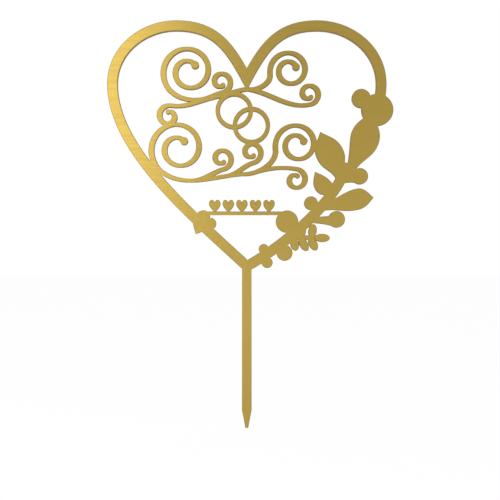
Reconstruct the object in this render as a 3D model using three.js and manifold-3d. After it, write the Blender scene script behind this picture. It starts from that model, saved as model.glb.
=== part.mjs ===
// Wedding cake topper: an open heart on a stake, cut from one sheet of gold-faced acrylic.
// A branch with leaves and berries takes the place of the heart's lower right side, and
// scrollwork, a pair of rings and a row of small hearts fill the middle.
// Millimetres, +Z up. The sheet stands in the XZ plane and its show face looks along -Y.
// The origin is on the stake's centreline, level with the top of the cake.
// Each element of the design is its own body of full sheet thickness, and neighbours
// meet face to face along the outline of the one that lies over the other.

import * as THREE from 'three';
import { mergeVertices } from 'three/addons/utils/BufferGeometryUtils.js';
import Module from 'manifold-3d';

const wasm = await Module();
wasm.setup();

// Sheet and stake
const sheetThickness = 3;
const stakeWidth = 4.8;
const stakeInCake = 30;
const stakePointLength = 9;
const stakePointWidth = 1.4;

// Heart, measured on the centreline of its frame: its tip above the cake, the tops of its
// lobes above the tip, and its notch and widest place below the tops
const frameWidth = 5.2;
const heartTipHeight = 50.9;
const heartTipSlope = 42.8;
const heartHeight = 120.4;
const heartHalfWidth = 67.3;
const widestDepth = 29.3;
const lobeTopOffset = 35.3;
const notchDepth = 26.7;
const notchSlope = 61.7;

// Fullness of the heart's curves, as shares of the spans that they round off
const notchFullness = 0.407;
const lobeInnerFullness = 0.557;
const lobeTopFullness = 0.511;
const lobeSideFullness = 0.593;
const sideFullness = 0.358;
const tipFullness = 0.318;

// Branch: it leaves the heart's tip flatter than the frame and comes back to the heart's line
const branchWidth = 5.3;
const branchSlope = 28;
const branchEndSlope = 80;
const branchEndShare = 0.6;
const branchStartFullness = 0.34;
const branchEndFullness = 0.2;

// Berries beside the branch: how far along it as a share, how far to its left, and radius
const tipBudUpper = { name: 'bud_tip_upper', share: 0.167, offset: 3, radius: 2.5 };
const tipBudLower = { name: 'bud_tip_lower', share: 0.134, offset: -3.6, radius: 2.8 };
const outerBerry = { name: 'berry_outer', share: 0.27, offset: -4.7, radius: 4 };
const innerBerry = { name: 'berry_inner', share: 0.423, offset: 6.7, radius: 5.6 };
const innerBud = { name: 'bud_inner', share: 0.644, offset: 5, radius: 3.45 };

// Buds on stalks: where the stalk leaves the branch, the heading and length to the bud's centre,
// the bud's radius, and how far to the right of that centre the stalk runs into the bud. A stalk
// ends almost as wide as the bud, and the flare says how late it widens.
const stalkWidth = 3.3;
const stalkEndShare = 0.95;
const stalkFlare = 2.6;
const stalkBudUpper = {
  name: 'bud_outer_upper', share: 0.905, heading: 12, length: 10, radius: 4.1, aside: 0.2,
};
const stalkBudLower = {
  name: 'bud_outer_lower', share: 0.55, heading: 0.5, length: 13.8, radius: 4.2, aside: 0.8,
};

// Leaves on the branch: where each is rooted, how far to the left of the branch's line, and half
// the width of its foot. Each side of a leaf has its width, where along the leaf it is widest,
// how early it swells from the foot, and how blunt it is towards the tip. The shares say how far
// a side keeps its direction from the foot, past its widest place and before the tip, and how
// wide a leaf without a foot starts.
const leafFootShare = 0.45;
const leafBellyShare = 0.5;
const leafTipShare = 0.3;
const leafRoundShare = 0.6;
const topLeaf = {
  name: 'leaf_top', share: 0.96, offset: -2.8, heading: 70.7, length: 32.9, foot: 2,
  left: { width: 5.7, widest: 0.63, swell: 0.19, blunt: 0.36 },
  right: { width: 8.9, widest: 0.59, swell: 0.41, blunt: 0.53 },
};
const innerLeaf = {
  name: 'leaf_inner_upper', share: 0.92, offset: 0, heading: 114.4, length: 25.6, foot: 2.4,
  left: { width: 6.9, widest: 0.56, swell: 0.5, blunt: 0.4 },
  right: { width: 6.8, widest: 0.5, swell: 0.5, blunt: 0.4 },
};
const lowerInnerLeaf = {
  name: 'leaf_inner_lower', share: 0.795, offset: 0, heading: 128, length: 13.8, foot: 2.7,
  left: { width: 5.3, widest: 0.43, swell: 0.7, blunt: 0.47 },
  right: { width: 3.2, widest: 0.32, swell: 0.57, blunt: 0.41 },
};
const outerLeaf = {
  name: 'leaf_outer', share: 0.68, offset: -0.4, heading: 10.2, length: 26, foot: 2.1,
  left: { width: 5.9, widest: 0.72, swell: 0.38, blunt: 0.45 },
  right: { width: 4.7, widest: 0.65, swell: 0.47, blunt: 0.49 },
};

// Berries at the top of the branch, where the frame ends
const topBerryShare = 0.112;
const topBerryRadius = 8;
const smallBerryRadius = 4.75;
const smallBerryHeading = 144.7;
const smallBerryDistance = 9.85;

// Fern sprig: a stalk with leaflets, whose width and length are shares of the stalk's length.
// Each is rooted at a share of the stalk.
const sprigShare = 0.362;
const sprigStalkLength = 13.2;
const sprigStalkWidth = 2.4;
const sprigHeading = -1.2;
const leafletWidthShare = 0.32;
const leafletLengthShare = 0.545;
const leaflets = [
  { at: 0.44, heading: 80, size: 0.97 },
  { at: 0.85, heading: 82, size: 0.96 },
  { at: 0.96, heading: -1, size: 1.06 },
  { at: 0.14, heading: -76, size: 0.96 },
  { at: 0.41, heading: -61, size: 1.06 },
  { at: 0.79, heading: -63, size: 0.98 },
];

// Leaf and bud that lie across the frame's left side: how far below the bar's middle they
// cross it, and how far the leaf's foot is from the crossing
const sideCrossingDepth = 5.2;
const sideLeafOffset = 7;
const sideLeaf = {
  heading: -115.5, length: 12.9, foot: 0,
  left: { width: 3.8, widest: 0.5, swell: 0.5, blunt: 0.4 },
  right: { width: 4.3, widest: 0.4, swell: 0.5, blunt: 0.4 },
};
const sideBudRadius = 2.9;
const sideBudDistance = 4.9;
const sideBudHeading = 0;

// Row of hearts on a bar between the side leaf and the inner berry, above the berry's centre
const barHeight = 4.2;
const barThickness = 1.8;
const rowHeartCount = 5;
const rowHeartWidth = 5.8;
const rowHeartHeight = 5.8;

// Scrollwork strokes, how far strokes that meet reach into each other, and how far the
// heart's notch reaches into the stroke under it
const strokeThick = 2.9;
const strokeThin = 1.9;
const bite = 0.8;
const notchBite = 1.5;
const sweepFullness = 0.36;

// Scrolls: each sweeps into a spiral from its outer to its inner radius and ends in a ball.
// Entry is the angle round the centre at which the spiral starts, and spin its sense.
const upperLeftScroll = { heading: 190, outer: 13.5, inner: 4.4, entry: 225, turns: 1.5, spin: -1, ball: 2 };
const upperHook = { heading: -16, outer: 10, inner: 3.6, entry: 190, turns: 1.45, spin: -1, ball: 1.9 };
const lowerLeftScroll = { heading: 184, outer: 14.5, inner: 4.6, entry: 232, turns: 1.5, spin: -1, ball: 2 };
const lowerHook = { heading: -6, outer: 11, inner: 3.8, entry: 190, turns: 1.45, spin: -1, ball: 1.9 };
const curl = { outer: 5.4, inner: 2.1, entry: -75, turns: 1.05, spin: 1, ball: 1.2 };

// Curls that leave a scroll's sweep: how far along it, and turned how far from its way
const upperCurl = { ...curl, root: 0.62, turn: 180 };
const upperTail = { ...curl, root: 0.4, turn: 0, entry: 80 };
const upperEnd = { ...curl, root: 0.1, turn: -4 };
const lowerCurl = { ...curl, root: 0.6, turn: 180 };
const ringStand = { ...curl, root: 0.15, turn: 180 };
const lowerEnd = { ...curl, root: 0.3, turn: -6, entry: 80, spin: -1 };

// Centres in the upper row, from its lead under the notch
const upperLeftPlace = { across: -29, height: 8.8 };
const upperHookPlace = { across: 21.5, height: 9.3 };
const upperCurlPlace = { across: -13, height: 3.6 };
const upperEndPlace = { across: 31, height: -2.4 };
const upperTailDirection = 107;

// The lower row rests on the frame at a share of its side and holds the inner leaf with its
// hook. Its lead lies at a share of the way from its left scroll's centre to its hook's and
// below the first, its curl is placed from the lead, and its end curl from the hook's centre.
const lowerRestShare = 0.415;
const lowerHookHeight = 3.1;
const lowerLeadShare = 0.525;
const lowerLeadDepth = 12.9;
const lowerCurlPlace = { across: -9.6, height: 7.8 };
const lowerEndPlace = { across: -0.7, height: -17.6 };

// Joined rings: their radius as a share of the height from one row's lead to the other's, and
// the distance between their centres as a share of their radius
const ringShare = 0.22;
const ringWidth = 2.2;
const ringSpacing = 1.21;
const ringSlope = -41;
const ringHoldShare = 0.15;

// Fineness of the facets
const heartSteps = 34;
const branchSteps = 20;
const leafFootSteps = 10;
const leafTipSteps = 12;
const rowHeartSteps = 7;
const facetDegrees = 7.5;
const sweepSteps = 12;
const circleFineness = 15;

function point(x, z) {
  return new THREE.Vector2(x, z);
}

function radians(degrees) {
  return THREE.MathUtils.degToRad(degrees);
}

function step(from, length, degrees) {
  const angle = radians(degrees);
  return point(from.x + length * Math.cos(angle), from.y + length * Math.sin(angle));
}

function mirrored(p) {
  return point(-p.x, p.y);
}

function placed(from, { across, height }) {
  return point(from.x + across, from.y + height);
}

// Solids

function toSolid(geometry) {
  geometry.deleteAttribute('normal');
  geometry.deleteAttribute('uv');
  const merged = mergeVertices(geometry, 1e-5);
  return new wasm.Manifold(new wasm.Mesh({
    numProp: 3,
    vertProperties: merged.attributes.position.array,
    triVerts: new Uint32Array(merged.index.array),
  }));
}

function cutFromSheet(outline) {
  const shape = new THREE.Shape(outline);
  const geometry = new THREE.ExtrudeGeometry(shape, { depth: sheetThickness, bevelEnabled: false });
  geometry.translate(0, 0, -sheetThickness / 2);
  return toSolid(geometry);
}

function joined(solids) {
  return solids.reduce((whole, solid) => whole.add(solid));
}

// Outlines

function ellipse(centre, halfLength, halfWidth, heading) {
  const count = Math.round(circleFineness * Math.sqrt(halfLength));
  const curve = new THREE.EllipseCurve(
    centre.x, centre.y, halfLength, halfWidth, 0, 2 * Math.PI, false, radians(heading),
  );
  return curve.getPoints(count).slice(0, -1);
}

function disc(centre, radius) {
  return cutFromSheet(ellipse(centre, radius, radius, 0));
}

function directions(points) {
  return points.map((p, i) => {
    const before = points[Math.max(i - 1, 0)];
    const after = points[Math.min(i + 1, points.length - 1)];
    return after.clone().sub(before).normalize();
  });
}

// The line moved to its left by an offset that may change along it
function offsetLine(points, offsetAt) {
  const along = directions(points);
  return points.map((p, i) => {
    const offset = offsetAt(i);
    return point(p.x - along[i].y * offset, p.y + along[i].x * offset);
  });
}

// A ribbon along a line, cut in stretches that don't cross themselves and joined again
function ribbon(points, widths) {
  const along = directions(points);
  const left = offsetLine(points, (i) => widths[i] / 2);
  const right = offsetLine(points, (i) => -widths[i] / 2);
  const stretches = [];
  let first = 0;
  let turned = 0;
  for (let i = 1; i < points.length; i += 1) {
    turned += Math.abs(along[i - 1].cross(along[i]));
    if (turned > Math.PI || i === points.length - 1) {
      const last = Math.min(i + 2, points.length);
      stretches.push(cutFromSheet([...left.slice(first, last), ...right.slice(first, last).reverse()]));
      first = i;
      turned = 0;
    }
  }
  return joined(stretches);
}

function band(points, width) {
  return ribbon(points, points.map(() => width));
}

// The part of a line on the right of the middle, cut off exactly on it
function rightOfMiddle(points) {
  const kept = [];
  points.forEach((p, i) => {
    const before = points[i - 1];
    if (before && before.x * p.x < 0) {
      kept.push(point(0, before.y + (p.y - before.y) * before.x / (before.x - p.x)));
    }
    if (p.x >= 0) {
      kept.push(p);
    }
  });
  return kept;
}

// Heart

function heartCurves() {
  const tip = point(0, heartTipHeight);
  const lobeTop = point(lobeTopOffset, heartTipHeight + heartHeight);
  const notch = point(0, lobeTop.y - notchDepth);
  const widest = point(heartHalfWidth, lobeTop.y - widestDepth);
  return {
    lobeInner: new THREE.CubicBezierCurve(
      notch,
      step(notch, notchFullness * notch.distanceTo(lobeTop), notchSlope),
      step(lobeTop, lobeInnerFullness * lobeTopOffset, 180),
      lobeTop,
    ),
    lobeOuter: new THREE.CubicBezierCurve(
      lobeTop,
      step(lobeTop, lobeTopFullness * (heartHalfWidth - lobeTopOffset), 0),
      step(widest, lobeSideFullness * widestDepth, 90),
      widest,
    ),
    side: new THREE.CubicBezierCurve(
      widest,
      step(widest, sideFullness * (heartHeight - widestDepth), -90),
      step(tip, tipFullness * widest.distanceTo(tip), heartTipSlope),
      tip,
    ),
  };
}

const heart = heartCurves();

// The place at a height on the heart's right side
function sideAtHeight(height) {
  const line = heart.side.getPoints(heartSteps);
  const next = line.findIndex((p) => p.y < height);
  const [above, below] = [line[next - 1], line[next]];
  return above.clone().lerp(below, (above.y - height) / (above.y - below.y));
}

// Far enough past the middle for both edges of the frame to cross it
const pastMiddle = 2 * frameWidth;

// The closed outline at a distance outside the heart's line, both halves of it
function heartOutline(distance) {
  const line = [
    step(heart.lobeInner.v0, -pastMiddle, notchSlope),
    ...heart.lobeInner.getPoints(heartSteps),
    ...heart.lobeOuter.getPoints(heartSteps).slice(1),
    ...heart.side.getPoints(heartSteps).slice(1),
    step(heart.side.v3, -pastMiddle, heartTipSlope),
  ];
  const half = rightOfMiddle(offsetLine(line, () => distance));
  return [...half, ...half.slice(1, -1).map(mirrored).reverse()];
}

// The frame's right side below the large berry, where the branch takes its place
function branchGap() {
  const shares = Array.from({ length: heartSteps + 1 }, (_, i) => (
    topBerryShare + (1 - topBerryShare) * i / heartSteps
  ));
  const line = [
    ...shares.map((share) => heart.side.getPointAt(share)),
    step(heart.side.v3, -pastMiddle, heartTipSlope),
  ];
  const [outer, inner] = [frameWidth, -frameWidth].map((distance) => (
    rightOfMiddle(offsetLine(line, () => distance))
  ));
  return cutFromSheet([...outer, ...inner.reverse()]);
}

function heartFrame() {
  const whole = cutFromSheet(heartOutline(frameWidth / 2));
  return whole.subtract(cutFromSheet(heartOutline(-frameWidth / 2))).subtract(branchGap());
}

function stake() {
  const corners = [
    point(stakeWidth / 2, heartTipHeight),
    point(stakeWidth / 2, stakePointLength - stakeInCake),
    point(stakePointWidth / 2, -stakeInCake),
  ];
  return cutFromSheet([...corners, ...corners.map(mirrored).reverse()]);
}

// Branch

function branchCurve() {
  const tip = heart.side.v3;
  const end = heart.side.getPointAt(1 - branchEndShare);
  const span = tip.distanceTo(end);
  return new THREE.CubicBezierCurve(
    tip,
    step(tip, branchStartFullness * span, branchSlope),
    step(end, -branchEndFullness * span, branchEndSlope),
    end,
  );
}

const branch = branchCurve();

function besideBranch({ share, offset }) {
  const along = branch.getTangentAt(share);
  const p = branch.getPointAt(share);
  return point(p.x - along.y * offset, p.y + along.x * offset);
}

// The stem starts on the middle and ends round
function branchStem() {
  const line = [step(branch.v0, -2 * branchWidth, branchSlope), ...branch.getPoints(branchSteps)];
  const [left, right] = [branchWidth / 2, -branchWidth / 2].map((distance) => (
    rightOfMiddle(offsetLine(line, () => distance))
  ));
  return cutFromSheet([...left, ...right.reverse()]).add(disc(branch.v3, branchWidth / 2));
}

// Leaves, buds and sprig

// One side of a leaf that lies along X, from its foot over its widest place to its tip
function leafSide(length, foot, { width, widest, swell, blunt }, side) {
  const reach = widest * length;
  const belly = point(reach, side * width);
  const rounded = point(0, side * leafRoundShare * width);
  const lower = new THREE.CubicBezierCurve(
    point(0, side * foot),
    foot > 0 ? point(leafFootShare * reach, side * foot) : rounded,
    point((1 - swell) * reach, side * width),
    belly,
  );
  const upper = new THREE.CubicBezierCurve(
    belly,
    point(reach + leafBellyShare * (length - reach), side * width),
    point(length - leafTipShare * (length - reach), side * blunt * width),
    point(length, 0),
  );
  return [...lower.getPoints(leafFootSteps), ...upper.getPoints(leafTipSteps).slice(1)];
}

function leafOutline(base, { heading, length, foot, left, right }) {
  const outline = [
    ...leafSide(length, foot, right, -1),
    ...leafSide(length, foot, left, 1).reverse().slice(1, foot > 0 ? undefined : -1),
  ];
  return outline.map((p) => p.rotateAround(point(0, 0), radians(heading)).add(base));
}

// A bud on a stalk that widens into it
function stalkBud({ share, heading, length, radius, aside }) {
  const foot = branch.getPointAt(share);
  const centre = step(foot, length, heading);
  const end = step(centre, aside, heading - 90);
  const endWidth = 2 * stalkEndShare * (radius - aside);
  const count = 8;
  const line = Array.from({ length: count + 1 }, (_, i) => foot.clone().lerp(end, i / count));
  const widths = line.map((_, i) => (
    THREE.MathUtils.lerp(stalkWidth, endWidth, (i / count) ** stalkFlare)
  ));
  return ribbon(line, widths).add(disc(centre, radius));
}

function fernSprig() {
  const foot = branch.getPointAt(sprigShare);
  const tip = step(foot, sprigStalkLength, sprigHeading);
  const blades = leaflets.map(({ at, heading, size }) => {
    const length = size * leafletLengthShare * sprigStalkLength;
    const centre = step(foot.clone().lerp(tip, at), length / 2, heading);
    const width = leafletWidthShare * sprigStalkLength;
    return cutFromSheet(ellipse(centre, length / 2, width / 2, heading));
  });
  return joined([band([foot, tip], sprigStalkWidth), ...blades]);
}

// Scrollwork

function sweepPoints({ from, heading, centre, outer, entry, spin }) {
  const arrival = step(centre, outer, entry);
  const reach = sweepFullness * from.distanceTo(arrival);
  return new THREE.CubicBezierCurve(
    from,
    step(from, reach, heading),
    step(arrival, -reach, entry + 90 * spin),
    arrival,
  ).getPoints(sweepSteps);
}

// The spiral's radius where it first passes an angle round its centre
function radiusAt({ outer, inner, entry, turns, spin }, angle) {
  const passed = THREE.MathUtils.euclideanModulo(spin * (angle - entry), 360);
  return outer + (inner - outer) * passed / (360 * turns);
}

function spiralPoints({ centre, outer, inner, entry, turns, spin }) {
  const count = Math.round(360 * turns / facetDegrees);
  return Array.from({ length: count + 1 }, (_, i) => (
    step(centre, outer + (inner - outer) * i / count, entry + spin * 360 * turns * i / count)
  ));
}

// Strokes are thick where they run up or down and thin where they run across
function scroll(spec) {
  const line = [...sweepPoints(spec), ...spiralPoints(spec).slice(1)];
  const widths = directions(line).map((along) => (
    strokeThin + (strokeThick - strokeThin) * Math.abs(along.y)
  ));
  return ribbon(line, widths).add(disc(line[line.length - 1], spec.ball));
}

// A point on a scroll's sweep, and the direction in which the sweep passes it
function onSweep(spec, share) {
  const line = sweepPoints(spec);
  const index = Math.round(share * sweepSteps);
  return { p: line[index], heading: THREE.MathUtils.radToDeg(directions(line)[index].angle()) };
}

function offshoot(parent, spec, centre) {
  const { p, heading } = onSweep(parent, spec.root);
  return scroll({ ...spec, centre, from: p, heading: heading + spec.turn });
}

// A point inside the frame's left side, at a distance from its inner edge
function insideLeftSide(share, distance) {
  const p = heart.side.getPointAt(share);
  const along = heart.side.getTangentAt(share);
  const reach = frameWidth / 2 + distance;
  return mirrored(point(p.x + along.y * reach, p.y - along.x * reach));
}

// A row's left scroll starts a bite before its lead, so that the right one starts inside it
function leftScroll(spec, lead, centre) {
  return { ...spec, from: step(lead, -bite, spec.heading), centre };
}

// The upper row runs under the heart's notch, whose point reaches into its lead
const notchPoint = heart.lobeInner.v0.y - frameWidth / 2 / Math.cos(radians(notchSlope));
const upperLead = point(0, notchPoint - strokeThin / 2 + notchBite);
const upper = {
  left: leftScroll(upperLeftScroll, upperLead, placed(upperLead, upperLeftPlace)),
  right: { ...upperHook, from: upperLead, centre: placed(upperLead, upperHookPlace) },
};

// The lower row's left scroll rests on the frame's left side, and its hook on the inner leaf
const restReach = lowerLeftScroll.outer + strokeThick / 2 - bite;
const lowerLeftCentre = insideLeftSide(lowerRestShare, restReach);
const leafEdge = leafOutline(besideBranch(innerLeaf), innerLeaf).reduce((edge, p) => (
  p.x < edge.x ? p : edge
));
const hookReach = radiusAt(lowerHook, 0) + strokeThick / 2 - bite;
const lowerHookCentre = placed(leafEdge, { across: -hookReach, height: lowerHookHeight });
const lowerLead = point(
  THREE.MathUtils.lerp(lowerLeftCentre.x, lowerHookCentre.x, lowerLeadShare),
  lowerLeftCentre.y - lowerLeadDepth,
);
const lower = {
  left: leftScroll(lowerLeftScroll, lowerLead, lowerLeftCentre),
  right: { ...lowerHook, from: lowerLead, centre: lowerHookCentre },
};

// The upper ring hangs in the upper row, and the lower ring stands on a curl of the lower row
const ringRadius = ringShare * (upperLead.y - lowerLead.y);

function ringCentres() {
  const hold = onSweep(upper.left, ringHoldShare).p;
  const upperRing = point(hold.x, hold.y - ringRadius);
  return [upperRing, step(upperRing, ringSpacing * ringRadius, ringSlope)];
}

const [upperRing, lowerRing] = ringCentres();

function upperLeftPiece() {
  const tailDistance = radiusAt(lower.left, upperTailDirection) + strokeThin - bite
    + radiusAt(upperTail, upperTailDirection + 180);
  const tailCentre = step(lower.left.centre, tailDistance, upperTailDirection);
  return joined([
    scroll(upper.left),
    offshoot(upper.left, upperCurl, placed(upperLead, upperCurlPlace)),
    offshoot(upper.left, upperTail, tailCentre),
  ]);
}

function upperRightPiece() {
  return joined([
    scroll(upper.right),
    offshoot(upper.right, upperEnd, placed(upperLead, upperEndPlace)),
  ]);
}

function lowerLeftPiece() {
  const standHeight = lowerRing.y - ringRadius - radiusAt(ringStand, 90);
  return joined([
    scroll(lower.left),
    offshoot(lower.left, lowerCurl, placed(lowerLead, lowerCurlPlace)),
    offshoot(lower.left, ringStand, point(lowerRing.x, standHeight)),
  ]);
}

function lowerRightPiece() {
  return joined([
    scroll(lower.right),
    offshoot(lower.right, lowerEnd, placed(lowerHookCentre, lowerEndPlace)),
  ]);
}

function ringPair() {
  return joined([upperRing, lowerRing].map((centre) => (
    disc(centre, ringRadius).subtract(disc(centre, ringRadius - ringWidth))
  )));
}

// Row of hearts

// A small heart on its tip, drawn by shares of its width and height
function standingHeart(tip, width, height) {
  const at = (side, across, up) => point(tip.x + side * across * width, tip.y + up * height);
  const half = (side) => {
    const widest = at(side, 0.5, 0.7);
    const lower = new THREE.CubicBezierCurve(tip, at(side, 0.12, 0.2), at(side, 0.5, 0.42), widest);
    const lobe = new THREE.CubicBezierCurve(
      widest,
      at(side, 0.5, 1.07),
      at(side, 0.1, 1.1),
      at(side, 0, 0.8),
    );
    return [...lower.getPoints(rowHeartSteps), ...lobe.getPoints(rowHeartSteps).slice(1)];
  };
  return cutFromSheet([...half(1), ...half(-1).reverse().slice(1, -1)]);
}

function heartRow(from, to) {
  const left = from.x + 2 * barThickness;
  const right = to.x - innerBerry.radius;
  const pitch = (right - left) / rowHeartCount;
  const top = barLevel + barThickness / 2;
  const hearts = Array.from({ length: rowHeartCount }, (_, i) => (
    standingHeart(point(left + (i + 0.5) * pitch, top - bite), rowHeartWidth, rowHeartHeight + bite)
  ));
  return joined([band([point(from.x, barLevel), point(to.x, barLevel)], barThickness), ...hearts]);
}

// The sheet lies in its own XY plane while it is cut, and its group stands it up with the
// show face towards -Y. Each piece is cut where it would overlap those already laid.

const topper = new THREE.Group();
const sheet = new THREE.Group();
const frame = new THREE.Group();
const foliage = new THREE.Group();
const ornament = new THREE.Group();
topper.add(sheet);
sheet.add(frame, foliage, ornament);
sheet.rotation.x = Math.PI / 2;

const frameGold = { color: 0xbb9a48, roughness: 0.34, metalness: 0.9 };
const foliageGold = { color: 0xb4933f, roughness: 0.36, metalness: 0.9 };
const ornamentGold = { color: 0xb8963f, roughness: 0.36, metalness: 0.9 };
const stakeGold = { color: 0xa98a3c, roughness: 0.34, metalness: 0.9 };

function addPart(group, name, solid, finish) {
  const { vertProperties, triVerts } = solid.getMesh();
  const geometry = new THREE.BufferGeometry();
  geometry.setAttribute('position', new THREE.BufferAttribute(vertProperties, 3));
  geometry.setIndex(new THREE.BufferAttribute(triVerts, 1));
  const faceted = geometry.toNonIndexed();
  faceted.computeVertexNormals();
  const mesh = new THREE.Mesh(faceted, new THREE.MeshStandardMaterial(finish));
  mesh.name = name;
  group.add(mesh);
}

function lay(group, name, solid, finish) {
  addPart(group, name, solid.subtract(laid), finish);
  laid = laid.add(solid);
}

function layFoliage(name, solid) {
  lay(foliage, name, solid, foliageGold);
}

function layOrnament(name, solid) {
  lay(ornament, name, solid, ornamentGold);
}

const topBerryCentre = heart.side.getPointAt(topBerryShare);
const smallBerryCentre = step(topBerryCentre, smallBerryDistance, smallBerryHeading);
const innerBerryCentre = besideBranch(innerBerry);
const barLevel = innerBerryCentre.y + barHeight;
const sideCrossing = mirrored(sideAtHeight(barLevel - sideCrossingDepth));
const sideLeafBase = step(sideCrossing, -sideLeafOffset, sideLeaf.heading);
let laid = disc(topBerryCentre, topBerryRadius);
addPart(foliage, 'berry_top_large', laid, foliageGold);
layFoliage('side_leaf', cutFromSheet(leafOutline(sideLeafBase, sideLeaf)));
layOrnament('upper_scroll_left', upperLeftPiece());

// The leaf parts the frame's left side, so the frame is laid as its arch and its lower arm
const wholeFrame = heartFrame();
const [arch, arm] = wholeFrame.subtract(laid).decompose().sort((one, other) => (
  other.volume() - one.volume()
));
addPart(frame, 'heart_frame', arch, frameGold);
addPart(frame, 'heart_arm', arm, frameGold);
laid = laid.add(wholeFrame);
layFoliage('berry_top_small', disc(smallBerryCentre, smallBerryRadius));
layFoliage('branch_stem', branchStem());
lay(frame, 'stake', stake(), stakeGold);

[tipBudUpper, tipBudLower, outerBerry, innerBerry, innerBud].forEach((spec) => (
  layFoliage(spec.name, disc(besideBranch(spec), spec.radius))
));
[topLeaf, innerLeaf, lowerInnerLeaf, outerLeaf].forEach((spec) => (
  layFoliage(spec.name, cutFromSheet(leafOutline(besideBranch(spec), spec)))
));
[stalkBudUpper, stalkBudLower].forEach((spec) => layFoliage(spec.name, stalkBud(spec)));
layFoliage('fern_sprig', fernSprig());
layFoliage('side_bud', disc(step(sideCrossing, sideBudDistance, sideBudHeading), sideBudRadius));

layOrnament('heart_row', heartRow(sideCrossing, innerBerryCentre));
layOrnament('upper_scroll_right', upperRightPiece());
layOrnament('ring_pair', ringPair());
layOrnament('lower_scroll_left', lowerLeftPiece());
layOrnament('lower_scroll_right', lowerRightPiece());

export default topper;
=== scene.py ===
"""Looks of a gold wedding cake topper: an open heart on a stake with a branch, scrollwork,
joined rings and a row of small hearts, laser-cut from one sheet of brushed gold acrylic."""

import math

import bpy
from bpy.props import FloatProperty, FloatVectorProperty, PointerProperty
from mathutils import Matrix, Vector
from mathutils.bvhtree import BVHTree
from mathutils.geometry import intersect_line_line_2d
from mathutils.kdtree import KDTree


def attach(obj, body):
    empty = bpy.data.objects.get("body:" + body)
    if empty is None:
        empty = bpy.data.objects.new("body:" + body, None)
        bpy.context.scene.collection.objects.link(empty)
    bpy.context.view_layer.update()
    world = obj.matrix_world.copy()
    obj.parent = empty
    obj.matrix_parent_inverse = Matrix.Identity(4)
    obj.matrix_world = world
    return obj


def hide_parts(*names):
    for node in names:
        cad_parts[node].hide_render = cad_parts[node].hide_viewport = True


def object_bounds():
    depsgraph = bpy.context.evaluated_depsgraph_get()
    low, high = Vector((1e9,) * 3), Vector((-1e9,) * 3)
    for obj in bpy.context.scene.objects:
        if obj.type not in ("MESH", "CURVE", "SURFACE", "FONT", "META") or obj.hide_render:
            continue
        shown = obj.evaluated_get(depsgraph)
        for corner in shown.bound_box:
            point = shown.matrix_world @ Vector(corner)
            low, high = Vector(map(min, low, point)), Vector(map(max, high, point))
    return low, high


bl_info = {
    "name": "Gold cake topper",
    "version": (1, 0, 0),
    "blender": (4, 5, 0),
    "location": "3D View > Sidebar > Topper",
    "description": "Finishes the pieces of a laser-cut gold cake topper and sets its stage",
    "category": "Object",
}

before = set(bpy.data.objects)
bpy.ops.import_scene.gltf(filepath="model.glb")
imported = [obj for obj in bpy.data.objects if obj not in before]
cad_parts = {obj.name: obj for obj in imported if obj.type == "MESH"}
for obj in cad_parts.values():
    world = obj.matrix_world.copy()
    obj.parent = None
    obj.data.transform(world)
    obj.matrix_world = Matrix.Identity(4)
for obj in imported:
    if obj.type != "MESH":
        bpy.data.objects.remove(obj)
CAD_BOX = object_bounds()

MM = 0.001

# Points closer than this are the same place on the sheet
SAME_PLACE = 0.02 * MM
# Corners that agree to this many decimals of a metre are listed once
PLACE_DECIMALS = 7
# Points of one mesh that are closer than this are joined
SAME_POINT = 0.001 * MM
# Faces that turn by less than this are one plane
SAME_PLANE = math.radians(0.1)
# A face that looks along the sheet's thickness by more than this share is one of its two shows
FLAT = 0.99
# Angle up to which the facets of a curved wall are shaded as one, less than a chamfer's
SMOOTH_BELOW = math.radians(20)

# A square bevel of three segments has a chamfer in its middle and a flat band on each side of it
BEVEL_SEGMENTS = 3
# Width of a bevel that fits beside the sheet's shortest edge
NARROW = 0.005 * MM
# A widened bevel's step across the sheet that is shorter than this is only rounding
NO_STEP = 0.002 * MM
# Share of an edge's length, and of the material across it, that widening a bevel leaves
KEPT_LENGTH = 0.2
KEPT_ACROSS = 0.1
# What the width is multiplied by where a bevel has no room
NARROWER = 0.8
# The triangles of a face that crosses itself add up to more than this many times its area
FOLDED = 1.001

# Slots of the heated film and the cut edge, after the film's own
HEATED_SLOT = 1
CUT_SLOT = 2

# Size in metres of the map that gives the film its direction
MAP_SIZE = 0.1
# Noise seldom leaves this range, and kerf lines take their colours from the middle of it
NOISE_LOW = 0.3
NOISE_HIGH = 0.7
KERF_LOW = 0.35
KERF_HIGH = 0.65
# Brightness of the darkest grain in the floor's paper, as a share of its colour
GRAIN_SHADE = 0.97

# Width of the camera's sensor in millimetres
SENSOR_WIDTH = 36


def linear(colour):
    """Linear red, green and blue of an sRGB hex colour."""
    channels = [(colour >> shift & 255) / 255 for shift in (16, 8, 0)]
    return [c / 12.92 if c <= 0.04045 else ((c + 0.055) / 1.055) ** 2.4 for c in channels]


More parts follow.
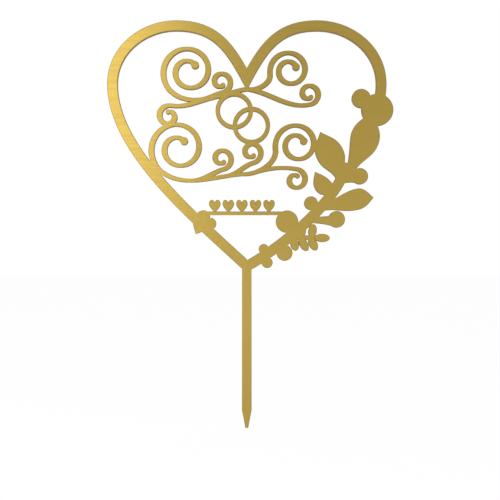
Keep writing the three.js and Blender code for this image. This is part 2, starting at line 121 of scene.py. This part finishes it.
class TopperSheet(bpy.types.PropertyGroup):
    """Sizes of what the laser leaves on the sheet's edges and of the lines brushed into its film"""

    heat_band: FloatProperty(
        name="Heat band",
        description="Width of the film beside the cut that its heat dulls, chamfer included",
        default=0.3 * MM,
        unit="LENGTH",
    )
    brush_spacing: FloatProperty(
        name="Brush line spacing",
        description="Distance between the brushed lines",
        default=0.9 * MM,
        unit="LENGTH",
    )
    brush_length: FloatProperty(
        name="Brush line length",
        description="Length of a brushed line",
        default=40 * MM,
        unit="LENGTH",
    )
    brush_depth: FloatProperty(
        name="Brush line depth",
        description="Depth of the brushed lines",
        default=0.02 * MM,
        unit="LENGTH",
    )
    kerf_spacing: FloatProperty(
        name="Kerf line spacing",
        description="Distance between the lines that the cut leaves across the edge",
        default=0.6 * MM,
        unit="LENGTH",
    )
    kerf_length: FloatProperty(
        name="Kerf line length",
        description="Length of those lines, more than the sheet's thickness",
        default=20 * MM,
        unit="LENGTH",
    )
    kerf_depth: FloatProperty(
        name="Kerf line depth",
        description="Depth of those lines",
        default=0.03 * MM,
        unit="LENGTH",
    )


class TopperColours(bpy.types.PropertyGroup):
    """Colours of the sheet's finishes and of the floor"""

    film: FloatVectorProperty(
        name="Gold film",
        description="Colour of the brushed gold film",
        subtype="COLOR",
        default=linear(0x9C8435),
    )
    film_light: FloatVectorProperty(
        name="Gold film, light lines",
        description="Colour of the lighter brushed lines",
        subtype="COLOR",
        default=linear(0xA28838),
    )
    heat: FloatVectorProperty(
        name="Heated film",
        description="Colour of the film beside the cut",
        subtype="COLOR",
        default=linear(0x826C2E),
    )
    core: FloatVectorProperty(
        name="Acrylic core",
        description="Colour of the acrylic that shows on the cut edge",
        subtype="COLOR",
        default=linear(0x8C7434),
    )
    # Painted shade: the acrylic's colour darkened for the cut's grooves, standing in for the shade
    # that falls in them.
    core_groove_shade: FloatVectorProperty(
        name="Acrylic core, deep",
        description="Colour of the acrylic in the cut's grooves",
        subtype="COLOR",
        default=linear(0x6E5A26),
    )
    floor: FloatVectorProperty(
        name="Floor",
        description="Colour of the floor",
        subtype="COLOR",
        default=linear(0xFAFAFA),
    )


class TopperStage(bpy.types.PropertyGroup):
    """Camera, light and floor"""

    camera_distance: FloatProperty(
        name="Camera distance",
        description="Distance from the camera to the sheet's show face",
        default=0.5,
        unit="LENGTH",
    )
    camera_height: FloatProperty(
        name="Camera height",
        description="Height of the camera above the top of the cake",
        default=59 * MM,
        unit="LENGTH",
    )
    camera_side: FloatProperty(
        name="Camera side step",
        description="How far the camera stands to the right of the stake",
        default=1.6 * MM,
        unit="LENGTH",
    )
    lens: FloatProperty(
        name="Focal length",
        description="Focal length of the lens, in millimetres on a 36 mm sensor",
        default=72,
        unit="CAMERA",
    )
    lamp_distance: FloatProperty(
        name="Lamp distance",
        description="How far in front of the sheet the lamps stand",
        default=0.5,
        unit="LENGTH",
    )
    softbox: FloatProperty(
        name="Softbox power",
        description="Power of the softbox on the left",
        default=2.25,
        subtype="POWER",
    )
    low_strip: FloatProperty(
        name="Low strip light power",
        description="Power of the strip light that stands low in front",
        default=0.26,
        subtype="POWER",
    )
    room_light: FloatProperty(
        name="Room light",
        description="Strength of the white room's light on the pieces",
        default=0.9,
    )
    floor_width: FloatProperty(
        name="Floor width",
        description="Width of the floor's square",
        default=6,
        unit="LENGTH",
    )
    floor_glow: FloatProperty(
        name="Floor glow",
        description="Share of plain white in the floor as the camera sees it",
        default=0.9,
    )
    floor_grain: FloatProperty(
        name="Floor grain",
        description="Size of the grain in the floor's paper",
        default=2.5 * MM,
        unit="LENGTH",
    )


# Meshes


def edit(piece):
    """Puts a piece alone into edit mode."""
    bpy.ops.object.select_all(action="DESELECT")
    piece.select_set(True)
    bpy.context.view_layer.objects.active = piece
    bpy.ops.object.mode_set(mode="EDIT")


def leave_edit():
    bpy.ops.object.mode_set(mode="OBJECT")


def clear_selection(mesh):
    for group in (mesh.vertices, mesh.edges, mesh.polygons):
        group.foreach_set("select", [False] * len(group))


def merged_copy(node):
    """A copy of a CAD piece with its triangles joined into whole faces and plain normals."""
    piece = bpy.data.objects.new(node + "_sheet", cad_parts[node].data.copy())
    piece.data.materials.clear()
    bpy.context.scene.collection.objects.link(piece)
    edit(piece)
    bpy.ops.mesh.select_mode(type="FACE")
    bpy.ops.mesh.select_all(action="SELECT")
    bpy.ops.mesh.remove_doubles(threshold=SAME_POINT)
    bpy.ops.mesh.dissolve_limited(angle_limit=SAME_PLANE, delimit=set())
    leave_edit()
    bpy.ops.mesh.customdata_custom_splitnormals_clear()
    return piece


def is_wall(face):
    """True for a face that stands across the sheet's thickness."""
    return abs(face.normal.y) < 1 - FLAT


def cut_walls():
    """A search tree over the walls of the whole sheet, with each wall's piece and direction."""
    points = []
    faces = []
    owners = []
    for node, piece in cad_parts.items():
        start = len(points)
        points.extend(vertex.co.copy() for vertex in piece.data.vertices)
        for face in piece.data.polygons:
            if is_wall(face):
                faces.append([start + i for i in face.vertices])
                owners.append((node, face.normal.copy()))
    return BVHTree.FromPolygons(points, faces), owners


def corners_on_pieces():
    """For each CAD piece, the corners of the sheet's pieces that lie on its walls."""
    corners = {}
    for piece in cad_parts.values():
        for vertex in piece.data.vertices:
            place = (round(vertex.co.x, PLACE_DECIMALS), round(vertex.co.z, PLACE_DECIMALS))
            corners[place] = vertex.co
    touching = {node: [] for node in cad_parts}
    for corner in corners.values():
        for node in {OWNERS[hit[2]][0] for hit in WALLS.find_nearest_range(corner, SAME_PLACE)}:
            touching[node].append(corner)
    return touching


def wall_ends(mesh, face):
    """The two ends of a wall and the way from one to the other, seen along the thickness."""
    corners = [mesh.vertices[i].co for i in face.vertices]
    along = Vector((-face.normal.z, 0, face.normal.x)).normalized()
    return min(corners, key=along.dot), max(corners, key=along.dot), along


def wall_through(mesh, corner):
    """The wall that has a corner inside it, and the way along that wall."""
    for face in mesh.polygons:
        if is_wall(face) and abs((corner - face.center).dot(face.normal)) < SAME_PLACE:
            low, high, along = wall_ends(mesh, face)
            if (corner - low).dot(along) > SAME_PLACE and (high - corner).dot(along) > SAME_PLACE:
                return face, along
    return None, None


def split_walls(piece, corners):
    """Cuts walls across where a neighbour's outline starts or stops to cover them."""
    for corner in corners:
        face, along = wall_through(piece.data, corner)
        if face:
            clear_selection(piece.data)
            face.select = True
            edit(piece)
            bpy.ops.mesh.bisect(plane_co=corner, plane_no=along)
            leave_edit()


def is_covered(face, node):
    """True for a wall of a piece that a neighbour lies against."""
    for _, _, index, _ in WALLS.find_nearest_range(face.center, SAME_PLACE):
        owner, normal = OWNERS[index]
        if owner != node and normal.dot(face.normal) < -FLAT:
            return True
    return False


def select_free_outline(piece, node):
    """Selects the edges between the sheet's two shows and the walls that stand free."""
    mesh = piece.data
    kinds = {}
    for face in mesh.polygons:
        if is_wall(face):
            kind = "covered" if is_covered(face, node) else "free"
        else:
            kind = "show"
        for key in face.edge_keys:
            kinds.setdefault(key, []).append(kind)
    clear_selection(mesh)
    for edge in mesh.edges:
        edge.select = sorted(kinds[edge.key]) == ["free", "show"]


def run_ends(mesh):
    """The corners where a run of selected edges stops because a neighbour covers the next wall."""
    count = [0] * len(mesh.vertices)
    for edge in mesh.edges:
        if edge.select:
            for index in edge.vertices:
                count[index] += 1
    return [index for index, edges in enumerate(count) if edges == 1]


def room_across(walls, corner, step):
    """How far the sheet's material reaches from a corner in the direction of a step."""
    way = Vector((step.x, 0, step.z))
    if way.length < NO_STEP:
        return math.inf
    way.normalize()
    distance = walls.ray_cast(Vector((corner.x, 0, corner.z)) + way * SAME_PLACE, way)[3]
    return math.inf if distance is None else distance


def folded_faces(mesh):
    """The faces other than walls whose outline crosses itself, found by their triangles' area."""
    mesh.calc_loop_triangles()
    spread = {}
    for triangle in mesh.loop_triangles:
        spread[triangle.polygon_index] = spread.get(triangle.polygon_index, 0) + triangle.area
    faces = [face for face in mesh.polygons if not is_wall(face)]
    return [face for face in faces if spread[face.index] > FOLDED * face.area]


def crossing_vertices(mesh, face):
    """The vertices at the ends of a face's edges that cross another of its edges."""
    ends = [(mesh.vertices[a], mesh.vertices[b]) for a, b in face.edge_keys]
    places = [(a.co.xz, b.co.xz) for a, b in ends]
    found = set()
    for i, (a, b) in enumerate(places):
        for j in range(i):
            c, d = places[j]
            if a not in (c, d) and b not in (c, d) and intersect_line_line_2d(a, b, c, d):
                found.update(vertex.index for vertex in (*ends[i], *ends[j]))
    return found


def nearest_corners(mesh, before):
    """For each vertex of a bevelled mesh, the index of the corner that it was split from."""
    tree = KDTree(len(before))
    for index, place in enumerate(before):
        tree.insert(place, index)
    tree.balance()
    return [tree.find(vertex.co)[1] for vertex in mesh.vertices]


def shares_with_room(before, ends, walls, corner, steps):
    """For each corner, the share of its steps that the material has room for.
    A run's ends take none, so that the bevel runs out to nothing there."""
    share = [1] * len(before)
    for c in ends:
        share[c] = 0
    for step, c in zip(steps, corner):
        if step.length > NARROW:
            room = (1 - KEPT_ACROSS) / 2 * room_across(walls, before[c], step)
            share[c] = min(share[c], room / step.length)
    return share


def crowded_vertices(edges, before, corner, steps, share):
    """The vertex with the longer step of each edge that would turn round or almost vanish."""
    found = set()
    for a, b in edges:
        way = before[corner[b]] - before[corner[a]]
        moved = steps[b] * share[corner[b]] - steps[a] * share[corner[a]]
        if (way + moved).dot(way) < KEPT_LENGTH * way.length_squared:
            found.add(max(a, b, key=lambda i: steps[i].length * share[corner[i]]))
    return found


def widen_bevel(piece, before, ends, walls, factor):
    """Widens a narrow bevel as far as there is room, which leaves it narrower in sharp tips."""
    mesh = piece.data
    corner = nearest_corners(mesh, before)
    steps = [(vertex.co - before[c]) * factor for vertex, c in zip(mesh.vertices, corner)]
    share = shares_with_room(before, ends, walls, corner, steps)
    edges = [edge.vertices[:] for edge in mesh.edges]
    edges = [(a, b) for a, b in edges if corner[a] != corner[b]]
    while True:
        crowded = crowded_vertices(edges, before, corner, steps, share)
        if not crowded:
            for vertex, step, c in zip(mesh.vertices, steps, corner):
                vertex.co = before[c] + step * share[c]
            for face in folded_faces(mesh):
                crowded.update(crossing_vertices(mesh, face))
        if not crowded:
            return
        for c in {corner[i] for i in crowded}:
            share[c] *= NARROWER


def soften_edges(piece, node, sizes):
    """Gives the free outline a chamfer with a heat band beside it, as the laser leaves them."""
    before = [vertex.co.copy() for vertex in piece.data.vertices]
    walls = BVHTree.FromPolygons(before, [face.vertices for face in piece.data.polygons])
    select_free_outline(piece, node)
    ends = run_ends(piece.data)
    edit(piece)
    bpy.ops.mesh.select_mode(type="EDGE")
    bpy.ops.mesh.bevel(offset=NARROW, segments=BEVEL_SEGMENTS, profile=1, material=HEATED_SLOT)
    leave_edit()
    widen_bevel(piece, before, ends, walls, sizes.heat_band / NARROW)
    edit(piece)
    bpy.ops.mesh.select_all(action="SELECT")
    bpy.ops.mesh.remove_doubles(threshold=SAME_POINT)
    leave_edit()


def name_finishes(piece):
    """Gives walls and chamfers the cut edge's finish and leaves the heat band on the shows."""
    for face in piece.data.polygons:
        if abs(face.normal.y) < FLAT:
            face.material_index = CUT_SLOT


def project_brushing(piece):
    """Lays a map over the piece whose first direction is the way that the film is brushed."""
    edit(piece)
    bpy.ops.mesh.select_all(action="SELECT")
    bpy.ops.uv.cube_project(cube_size=MAP_SIZE, scale_to_bounds=False)
    leave_edit()
    piece.data.uv_layers[0].name = "brushing"


def finish_piece(context, node):
    """Makes the finished piece of the sheet that stands for a CAD piece."""
    piece = merged_copy(node)
    for material in (gold_film(context), heated_film(context), cut_edge(context)):
        piece.data.materials.append(material)
    split_walls(piece, CORNERS[node])
    soften_edges(piece, node, context.scene.topper_sheet)
    name_finishes(piece)
    project_brushing(piece)
    bpy.ops.object.shade_smooth_by_angle(angle=SMOOTH_BELOW, keep_sharp_edges=False)
    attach(piece, "root")
    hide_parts(node)


# The walls of the whole sheet with their pieces and directions, and the corners on each piece
WALLS, OWNERS = cut_walls()
CORNERS = corners_on_pieces()


# Materials


def add_node(tree, kind, values=None, links=None, **settings):
    """Adds a node with its settings, its sockets' values and the sockets linked into it."""
    node = tree.nodes.new(kind)
    for name, value in settings.items():
        setattr(node, name, value)
    for name, value in (values or {}).items():
        node.inputs[name].default_value = value
    for name, source in (links or {}).items():
        tree.links.new(source, node.inputs[name])
    return node


def new_material(name):
    material = bpy.data.materials.new(name)
    material.use_nodes = True
    material.node_tree.nodes.clear()
    return material, material.node_tree


def two_tone(tree, noise, low, high, dark, light):
    """A colour that goes from dark to light between two values of a noise."""
    node = add_node(tree, "ShaderNodeValToRGB", links={"Fac": noise})
    for element, position, colour in zip(node.color_ramp.elements, (low, high), (dark, light)):
        element.position = position
        element.color = (*colour, 1)
    return node.outputs["Color"]


def brushed_lines(tree, sizes):
    """Long thin lines along X, the way that the film is brushed.
    Real brush lines lie about 0.05 mm apart, so these are drawn coarser to show."""
    length_scale = 1 / sizes.brush_length
    place = add_node(tree, "ShaderNodeTexCoord").outputs["Object"]
    spread = add_node(
        tree,
        "ShaderNodeMapping",
        values={"Scale": (length_scale, length_scale, 1 / sizes.brush_spacing)},
        links={"Vector": place},
    )
    return add_node(
        tree,
        "ShaderNodeTexNoise",
        values={"Scale": 1, "Detail": 3, "Roughness": 0.6},
        links={"Vector": spread.outputs["Vector"]},
    ).outputs["Fac"]


def brushed_metal(context, name, dark, light, rough, rough_spread):
    """Metallised film with level brushing, under a thin satin lacquer."""
    material = bpy.data.materials.get(name)
    if material:
        return material
    material, tree = new_material(name)
    sizes = context.scene.topper_sheet
    lines = brushed_lines(tree, sizes)
    roughness = add_node(
        tree,
        "ShaderNodeMapRange",
        values={
            "From Min": NOISE_LOW,
            "From Max": NOISE_HIGH,
            "To Min": rough - rough_spread,
            "To Max": rough + rough_spread,
        },
        links={"Value": lines},
    )
    bump = add_node(
        tree,
        "ShaderNodeBump",
        values={"Strength": 0.5, "Distance": sizes.brush_depth},
        links={"Height": lines},
    )
    tangent = add_node(tree, "ShaderNodeTangent", direction_type="UV_MAP", uv_map="brushing")
    shader = add_node(
        tree,
        "ShaderNodeBsdfPrincipled",
        values={
            "Metallic": 1,
            "Anisotropic": 0.75,
            "Anisotropic Rotation": 0.25,
            "Coat Weight": 0.45,
            "Coat Roughness": 0.3,
        },
        links={
            "Base Color": two_tone(tree, lines, NOISE_LOW, NOISE_HIGH, dark, light),
            "Roughness": roughness.outputs["Result"],
            "Normal": bump.outputs["Normal"],
            "Tangent": tangent.outputs["Tangent"],
        },
    )
    add_node(tree, "ShaderNodeOutputMaterial", links={"Surface": shader.outputs["BSDF"]})
    return material


def gold_film(context):
    """Brushed gold metallised film, laminated on acrylic: a satin sheen with fine level lines."""
    colours = context.scene.topper_colours
    return brushed_metal(
        context,
        "brushed_gold_film",
        colours.film,
        colours.film_light,
        rough=0.36,
        rough_spread=0.07,
    )


def heated_film(context):
    """The same film beside the cut, a little darker and duller from the laser's heat."""
    colours = context.scene.topper_colours
    return brushed_metal(
        context,
        "heated_gold_film",
        colours.heat,
        colours.film,
        rough=0.45,
        rough_spread=0.04,
    )


def cut_edge(context):
    """Laser-cut acrylic: a smooth brown-gold edge with faint lines across the thickness, whose
    grooves are darkened with painted shade.
    """
    material = bpy.data.materials.get("laser_cut_acrylic")
    if material:
        return material
    sizes = context.scene.topper_sheet
    colours = context.scene.topper_colours
    material, tree = new_material("laser_cut_acrylic")
    kerf_scale = 1 / sizes.kerf_spacing
    place = add_node(tree, "ShaderNodeTexCoord").outputs["Object"]
    spread = add_node(
        tree,
        "ShaderNodeMapping",
        values={"Scale": (kerf_scale, 1 / sizes.kerf_length, kerf_scale)},
        links={"Vector": place},
    )
    lines = add_node(
        tree,
        "ShaderNodeTexNoise",
        values={"Scale": 1, "Detail": 2},
        links={"Vector": spread.outputs["Vector"]},
    ).outputs["Fac"]
    bump = add_node(
        tree,
        "ShaderNodeBump",
        values={"Strength": 0.4, "Distance": sizes.kerf_depth},
        links={"Height": lines},
    )
    # The kerf lines' low places, their grooves, take the darker colour, which is painted shade.
    colour = two_tone(tree, lines, KERF_LOW, KERF_HIGH, colours.core_groove_shade, colours.core)
    shader = add_node(
        tree,
        "ShaderNodeBsdfPrincipled",
        values={"Roughness": 0.5, "IOR": 1.49, "Specular IOR Level": 0.15},
        links={"Base Color": colour, "Normal": bump.outputs["Normal"]},
    )
    add_node(tree, "ShaderNodeOutputMaterial", links={"Surface": shader.outputs["BSDF"]})
    return material


def backdrop_share(tree):
    """1 for what the camera sees, by itself or in metal and glass, and 0 for light on pieces."""
    path = add_node(tree, "ShaderNodeLightPath")
    seen = path.outputs["Is Camera Ray"]
    for name in ("Is Glossy Ray", "Is Transmission Ray"):
        total = add_node(
            tree,
            "ShaderNodeMath",
            links={0: seen, 1: path.outputs[name]},
            operation="ADD",
            use_clamp=True,
        )
        seen = total.outputs["Value"]
    return seen


def white_floor(context):
    """Matt white studio paper that keeps the topper's shadow. The camera sees it mostly as
    plain white, like the room behind it."""
    stage = context.scene.topper_stage
    white = context.scene.topper_colours.floor
    shaded = [GRAIN_SHADE * c for c in white]
    material, tree = new_material("white_studio_paper")
    grain = add_node(
        tree,
        "ShaderNodeTexNoise",
        values={"Scale": 1 / stage.floor_grain, "Detail": 2},
        links={"Vector": add_node(tree, "ShaderNodeTexCoord").outputs["Object"]},
    ).outputs["Fac"]
    colour = two_tone(tree, grain, NOISE_LOW, NOISE_HIGH, shaded, white)
    paper = add_node(tree, "ShaderNodeBsdfDiffuse", links={"Color": colour})
    glow = add_node(tree, "ShaderNodeEmission", values={"Color": (1, 1, 1, 1), "Strength": 1})
    share = add_node(
        tree,
        "ShaderNodeMath",
        values={1: stage.floor_glow},
        links={0: backdrop_share(tree)},
        operation="MULTIPLY",
    )
    mix = add_node(
        tree,
        "ShaderNodeMixShader",
        links={0: share.outputs["Value"], 1: paper.outputs["BSDF"], 2: glow.outputs["Emission"]},
    )
    add_node(tree, "ShaderNodeOutputMaterial", links={"Surface": mix.outputs["Shader"]})
    return material


# Stage


def add_floor(context):
    foot = CAD_BOX[0][2]
    width = context.scene.topper_stage.floor_width
    bpy.ops.mesh.primitive_plane_add(size=width, location=(0, 0, foot))
    floor = context.active_object
    floor.name = "floor"
    bpy.ops.object.transform_apply(location=True, rotation=True, scale=True)
    floor.data.materials.append(white_floor(context))


def light_world(context):
    """A white room, whose light on the pieces is a little weaker than what the camera sees."""
    world = bpy.data.worlds.new("white_studio")
    context.scene.world = world
    world.use_nodes = True
    tree = world.node_tree
    tree.nodes.clear()
    strength = add_node(
        tree,
        "ShaderNodeMapRange",
        values={"To Min": context.scene.topper_stage.room_light, "To Max": 1},
        links={"Value": backdrop_share(tree)},
    )
    sky = add_node(
        tree,
        "ShaderNodeBackground",
        values={"Color": (1, 1, 1, 1)},
        links={"Strength": strength.outputs["Result"]},
    )
    add_node(tree, "ShaderNodeOutputWorld", links={"Surface": sky.outputs["Background"]})


def add_lamp(context, name, across, height, aim, size, power):
    """Adds a soft lamp in front of the sheet that shines straight back, at a height to aim for."""
    lamp = bpy.data.lights.new(name, "AREA")
    lamp.shape = "RECTANGLE"
    lamp.size, lamp.size_y = size
    lamp.energy = power
    place = Vector((across, -context.scene.topper_stage.lamp_distance, height))
    target = Vector((across, 0, aim))
    holder = bpy.data.objects.new(name, lamp)
    holder.location = place
    holder.rotation_euler = (target - place).to_track_quat("-Z", "Y").to_euler()
    holder.visible_camera = False
    context.scene.collection.objects.link(holder)


def add_left_softbox(context):
    """A tall softbox on the left, which brightens the left side of the frame."""
    add_lamp(
        context,
        "left_softbox",
        across=-0.3,
        height=0.25,
        aim=0.25,
        size=(0.44, 0.75),
        power=context.scene.topper_stage.softbox,
    )


def add_low_strip_light(context):
    """A long strip light low in front, which brightens the lower branch and the stake."""
    add_lamp(
        context,
        "low_strip_light",
        across=0.12,
        height=0,
        aim=0.05,
        size=(0.6, 0.05),
        power=context.scene.topper_stage.low_strip,
    )


def add_camera(context):
    stage = context.scene.topper_stage
    camera = bpy.data.cameras.new("camera")
    camera.lens = stage.lens
    camera.sensor_width = SENSOR_WIDTH
    holder = bpy.data.objects.new("camera", camera)
    show_face = CAD_BOX[0][1]
    holder.location = (stage.camera_side, show_face - stage.camera_distance, stage.camera_height)
    holder.rotation_euler = (math.radians(90), 0, 0)
    context.scene.collection.objects.link(holder)
    context.scene.camera = holder


# Operators


class TOPPER_OT_heart_frame(bpy.types.Operator):
    """Finishes the open heart's frame"""

    bl_idname = "topper.heart_frame"
    bl_label = "Heart frame"

    def execute(self, context):
        for node in ("heart_frame", "heart_arm"):
            finish_piece(context, node)
        return {"FINISHED"}


class TOPPER_OT_stake(bpy.types.Operator):
    """Finishes the stake that goes into the cake"""

    bl_idname = "topper.stake"
    bl_label = "Stake"

    def execute(self, context):
        finish_piece(context, "stake")
        return {"FINISHED"}


class TOPPER_OT_branch(bpy.types.Operator):
    """Finishes the branch's stem and the fern sprig on it"""

    bl_idname = "topper.branch"
    bl_label = "Branch and sprig"

    def execute(self, context):
        for node in ("branch_stem", "fern_sprig"):
            finish_piece(context, node)
        return {"FINISHED"}


class TOPPER_OT_leaves(bpy.types.Operator):
    """Finishes the leaves on the branch and the one on the frame"""

    bl_idname = "topper.leaves"
    bl_label = "Leaves"

    def execute(self, context):
        names = ("leaf_top", "leaf_inner_upper", "leaf_inner_lower", "leaf_outer", "side_leaf")
        for node in names:
            finish_piece(context, node)
        return {"FINISHED"}


class TOPPER_OT_berries(bpy.types.Operator):
    """Finishes the round berries"""

    bl_idname = "topper.berries"
    bl_label = "Berries"

    def execute(self, context):
        for node in ("berry_top_large", "berry_top_small", "berry_outer", "berry_inner"):
            finish_piece(context, node)
        return {"FINISHED"}


class TOPPER_OT_buds(bpy.types.Operator):
    """Finishes the buds"""

    bl_idname = "topper.buds"
    bl_label = "Buds"

    def execute(self, context):
        names = (
            "bud_tip_upper",
            "bud_tip_lower",
            "bud_inner",
            "bud_outer_upper",
            "bud_outer_lower",
            "side_bud",
        )
        for node in names:
            finish_piece(context, node)
        return {"FINISHED"}


class TOPPER_OT_scrollwork(bpy.types.Operator):
    """Finishes the two rows of scrollwork"""

    bl_idname = "topper.scrollwork"
    bl_label = "Scrollwork"

    def execute(self, context):
        for row in ("upper", "lower"):
            for side in ("left", "right"):
                finish_piece(context, f"{row}_scroll_{side}")
        return {"FINISHED"}


class TOPPER_OT_rings(bpy.types.Operator):
    """Finishes the joined rings"""

    bl_idname = "topper.rings"
    bl_label = "Joined rings"

    def execute(self, context):
        finish_piece(context, "ring_pair")
        return {"FINISHED"}


class TOPPER_OT_heart_row(bpy.types.Operator):
    """Finishes the bar with its row of small hearts"""

    bl_idname = "topper.heart_row"
    bl_label = "Row of hearts"

    def execute(self, context):
        finish_piece(context, "heart_row")
        return {"FINISHED"}


class TOPPER_OT_stage(bpy.types.Operator):
    """Adds the white floor, the studio light and the camera"""

    bl_idname = "topper.stage"
    bl_label = "Stage"

    def execute(self, context):
        context.scene.view_settings.view_transform = "Standard"
        add_floor(context)
        light_world(context)
        add_left_softbox(context)
        add_low_strip_light(context)
        add_camera(context)
        return {"FINISHED"}


OPERATORS = (
    TOPPER_OT_heart_frame,
    TOPPER_OT_stake,
    TOPPER_OT_branch,
    TOPPER_OT_leaves,
    TOPPER_OT_berries,
    TOPPER_OT_buds,
    TOPPER_OT_scrollwork,
    TOPPER_OT_rings,
    TOPPER_OT_heart_row,
    TOPPER_OT_stage,
)

GROUPS = {
    "topper_sheet": TopperSheet,
    "topper_colours": TopperColours,
    "topper_stage": TopperStage,
}


class TOPPER_PT_sidebar(bpy.types.Panel):
    """Lists the topper's pieces, sizes and colours"""

    bl_idname = "TOPPER_PT_sidebar"
    bl_label = "Cake topper"
    bl_space_type = "VIEW_3D"
    bl_region_type = "UI"
    bl_category = "Topper"

    def draw(self, context):
        for operator in OPERATORS:
            self.layout.operator(operator.bl_idname)
        for group_name in GROUPS:
            group = getattr(context.scene, group_name)
            for name in group.bl_rna.properties.keys():
                if name not in ("rna_type", "name"):
                    self.layout.prop(group, name)


def register():
    for group in (*GROUPS.values(), *OPERATORS, TOPPER_PT_sidebar):
        bpy.utils.register_class(group)
    for name, group in GROUPS.items():
        setattr(bpy.types.Scene, name, PointerProperty(type=group))


def unregister():
    for name in GROUPS:
        delattr(bpy.types.Scene, name)
    for group in (TOPPER_PT_sidebar, *reversed(OPERATORS), *reversed(GROUPS.values())):
        bpy.utils.unregister_class(group)


def main():
    register()
    bpy.ops.topper.heart_frame()
    bpy.ops.topper.stake()
    bpy.ops.topper.branch()
    bpy.ops.topper.leaves()
    bpy.ops.topper.berries()
    bpy.ops.topper.buds()
    bpy.ops.topper.scrollwork()
    bpy.ops.topper.rings()
    bpy.ops.topper.heart_row()
    bpy.ops.topper.stage()


if __name__ == "__main__":
    main()
